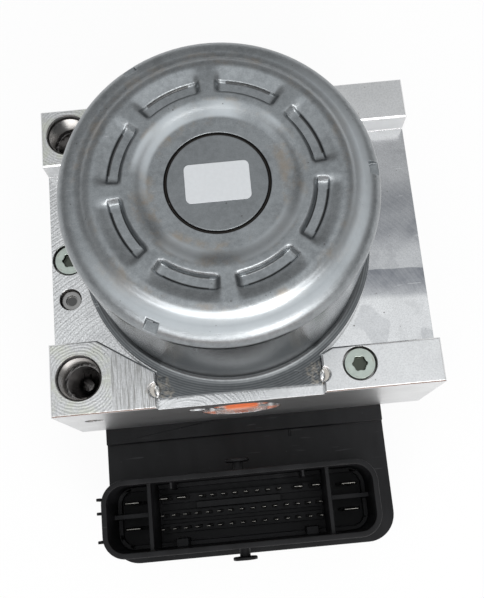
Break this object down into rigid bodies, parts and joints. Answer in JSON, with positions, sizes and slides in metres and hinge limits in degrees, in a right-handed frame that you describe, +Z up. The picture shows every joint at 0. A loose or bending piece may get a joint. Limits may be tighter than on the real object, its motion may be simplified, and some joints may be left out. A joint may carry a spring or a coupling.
{
  "type": "abs brake module",
  "caption": "Hydraulic brake control module: pump motor on an aluminium valve block, with a controller and upright connector below.",
  "frame": {"origin": "centre of the footprint of the bounding box, at the underside of the controller cover", "axes": "+Z up along the motor axis, -Y towards the connector side, -X towards the port side"},
  "size_m": [0.1, 0.124, 0.1082],
  "materials": {
    "block_aluminium": "extruded and milled, bright",
    "plug_aluminium": "turned",
    "can_steel": "zinc plated, drawn",
    "label_white": "satin film, blank",
    "screw_steel": "greenish passivated",
    "bearing_steel": "ground",
    "core_iron": "stacked sheet",
    "winding_copper": "enamelled wire",
    "commutator_copper": "turned",
    "magnet_ferrite": "pressed ferrite",
    "brush_carbon": "pressed carbon",
    "spring_steel": "drawn wire",
    "pump_steel": "ground",
    "valve_steel": "turned",
    "coil_plastic": "moulded over copper",
    "case_plastic": "moulded, satin",
    "gasket_rubber": "moulded",
    "board_green": "solder mask",
    "terminal_tin": "tinned"
  },
  "bodies": {
    "root": {"valve_block": "block_aluminium", "bore_plug": "plug_aluminium", "case_screws": "screw_steel", "motor_can": "can_steel", "motor_label": "label_white", "upper_bearing": "bearing_steel", "front_bearing": "bearing_steel", "end_bearing": "bearing_steel", "magnet_left": "magnet_ferrite", "magnet_right": "magnet_ferrite", "brush_holder": "case_plastic", "brush_left": "brush_carbon", "brush_right": "brush_carbon", "brush_spring_left": "spring_steel", "brush_spring_right": "spring_steel", "motor_leads": "commutator_copper", "pump_sleeve_front": "pump_steel", "pump_sleeve_rear": "pump_steel", "pump_plug_front": "plug_aluminium", "pump_plug_rear": "plug_aluminium", "pump_spring_front": "spring_steel", "pump_spring_rear": "spring_steel", "accumulator_cap_left": "plug_aluminium", "accumulator_cap_right": "plug_aluminium", "accumulator_spring_left": "spring_steel", "accumulator_spring_right": "spring_steel", "inlet_valve_1": "valve_steel", "inlet_valve_2": "valve_steel", "inlet_valve_3": "valve_steel", "inlet_valve_4": "valve_steel", "outlet_valve_1": "valve_steel", "outlet_valve_2": "valve_steel", "outlet_valve_3": "valve_steel", "outlet_valve_4": "valve_steel", "valve_coils": "coil_plastic", "ecu_housing": "case_plastic", "ecu_gasket": "gasket_rubber", "ecu_cover": "case_plastic", "circuit_board": "board_green", "signal_terminals": "terminal_tin", "power_terminals": "terminal_tin", "supply_blades": "terminal_tin", "terminal_carrier": "case_plastic"},
    "rotor": {"motor_shaft": "bearing_steel", "armature_core": "core_iron", "armature_windings": "winding_copper", "commutator": "commutator_copper"},
    "cam_ring": {"eccentric_ring": "bearing_steel"},
    "pump_piston_front": {"pump_piston_front": "pump_steel"},
    "pump_piston_rear": {"pump_piston_rear": "pump_steel"},
    "accumulator_piston_left": {"accumulator_piston_left": "plug_aluminium"},
    "accumulator_piston_right": {"accumulator_piston_right": "plug_aluminium"},
    "inlet_plunger_1": {"inlet_plunger_1": "valve_steel"},
    "inlet_plunger_2": {"inlet_plunger_2": "valve_steel"},
    "inlet_plunger_3": {"inlet_plunger_3": "valve_steel"},
    "inlet_plunger_4": {"inlet_plunger_4": "valve_steel"},
    "outlet_plunger_1": {"outlet_plunger_1": "valve_steel"},
    "outlet_plunger_2": {"outlet_plunger_2": "valve_steel"},
    "outlet_plunger_3": {"outlet_plunger_3": "valve_steel"},
    "outlet_plunger_4": {"outlet_plunger_4": "valve_steel"}
  },
  "joints": [
    {"name": "rotor_spin", "type": "hinge", "parent": "root", "child": "rotor", "pos_m": [-0.0023, 0.01945, 0.0475], "axis": [0, 0, 1], "continuous": true},
    {"name": "cam_ring_roll", "type": "hinge", "parent": "rotor", "child": "cam_ring", "pos_m": [-0.0013, 0.01945, 0.0475], "axis": [0, 0, 1], "continuous": true},
    {"name": "pump_stroke_front", "type": "slide", "parent": "root", "child": "pump_piston_front", "axis": [0, -1, 0], "range_m": [0, 0.002], "stiffness_N_per_m": 900, "springref_m": -0.005},
    {"name": "pump_stroke_rear", "type": "slide", "parent": "root", "child": "pump_piston_rear", "axis": [0, 1, 0], "range_m": [0, 0.002], "stiffness_N_per_m": 900, "springref_m": -0.005},
    {"name": "accumulator_fill_left", "type": "slide", "parent": "root", "child": "accumulator_piston_left", "axis": [0, 0, -1], "range_m": [0, 0.005], "stiffness_N_per_m": 600, "springref_m": -0.01, "deforming": ["accumulator_spring_left"]},
    {"name": "accumulator_fill_right", "type": "slide", "parent": "root", "child": "accumulator_piston_right", "axis": [0, 0, -1], "range_m": [0, 0.005], "stiffness_N_per_m": 600, "springref_m": -0.01, "deforming": ["accumulator_spring_right"]},
    {"name": "inlet_lift_1", "type": "slide", "parent": "root", "child": "inlet_plunger_1", "axis": [0, 0, 1], "range_m": [0, 0.00025], "stiffness_N_per_m": 200, "springref_m": -0.003},
    {"name": "inlet_lift_2", "type": "slide", "parent": "root", "child": "inlet_plunger_2", "axis": [0, 0, 1], "range_m": [0, 0.00025], "stiffness_N_per_m": 200, "springref_m": -0.003},
    {"name": "inlet_lift_3", "type": "slide", "parent": "root", "child": "inlet_plunger_3", "axis": [0, 0, 1], "range_m": [0, 0.00025], "stiffness_N_per_m": 200, "springref_m": -0.003},
    {"name": "inlet_lift_4", "type": "slide", "parent": "root", "child": "inlet_plunger_4", "axis": [0, 0, 1], "range_m": [0, 0.00025], "stiffness_N_per_m": 200, "springref_m": -0.003},
    {"name": "outlet_lift_1", "type": "slide", "parent": "root", "child": "outlet_plunger_1", "axis": [0, 0, 1], "range_m": [0, 0.00025], "stiffness_N_per_m": 200, "springref_m": -0.003},
    {"name": "outlet_lift_2", "type": "slide", "parent": "root", "child": "outlet_plunger_2", "axis": [0, 0, 1], "range_m": [0, 0.00025], "stiffness_N_per_m": 200, "springref_m": -0.003},
    {"name": "outlet_lift_3", "type": "slide", "parent": "root", "child": "outlet_plunger_3", "axis": [0, 0, 1], "range_m": [0, 0.00025], "stiffness_N_per_m": 200, "springref_m": -0.003},
    {"name": "outlet_lift_4", "type": "slide", "parent": "root", "child": "outlet_plunger_4", "axis": [0, 0, 1], "range_m": [0, 0.00025], "stiffness_N_per_m": 200, "springref_m": -0.003}
  ],
  "couplings": [
    {"joint": "cam_ring_roll", "follows": "rotor_spin", "ratio": -1}
  ]
}
